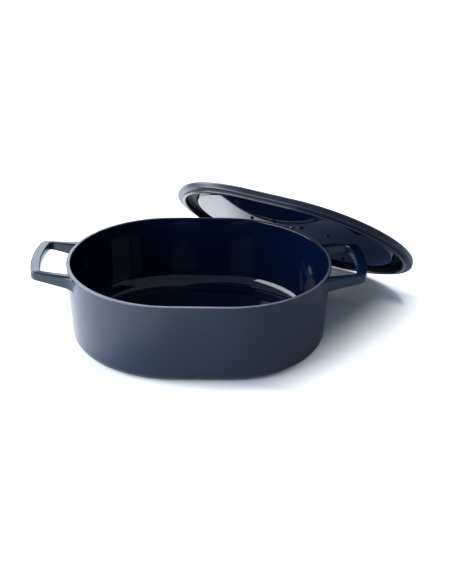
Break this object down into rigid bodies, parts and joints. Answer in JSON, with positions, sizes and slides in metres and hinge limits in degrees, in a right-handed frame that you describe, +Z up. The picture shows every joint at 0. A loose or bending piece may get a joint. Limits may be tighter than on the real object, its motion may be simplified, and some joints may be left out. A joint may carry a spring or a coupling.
{
  "type": "covered casserole dish",
  "caption": "Oval cast casserole dish with a loop handle at each end, and its flat rimmed lid with a knob leaning on the dish's rim, underside to the front.",
  "frame": {"origin": "centre of the dish's underside, on the table", "axes": "+X along the dish's length through both handles, +Z up, the lid leans on the +X +Y side"},
  "size_m": [0.417, 0.3206, 0.1527],
  "materials": {
    "dish_enamel": "satin slate blue-grey enamel outside, gloss black-navy enamel inside",
    "lid_enamel": "satin slate enamel outside, gloss black-navy enamel on the underside",
    "knob_phenolic": "satin black phenolic",
    "insert_brass": "turned",
    "screw_steel": "bright stainless"
  },
  "bodies": {
    "dish": {"pot": "dish_enamel"},
    "lid": {"lid": "lid_enamel", "knob": "knob_phenolic", "knob_insert": "insert_brass", "knob_screw": "screw_steel", "screw_washer": "screw_steel"}
  },
  "joints": [
    {"name": "lid_lift", "type": "slide", "parent": "dish", "child": "lid", "axis": [0, 0, 1], "range_m": [0, 0.12]}
  ]
}
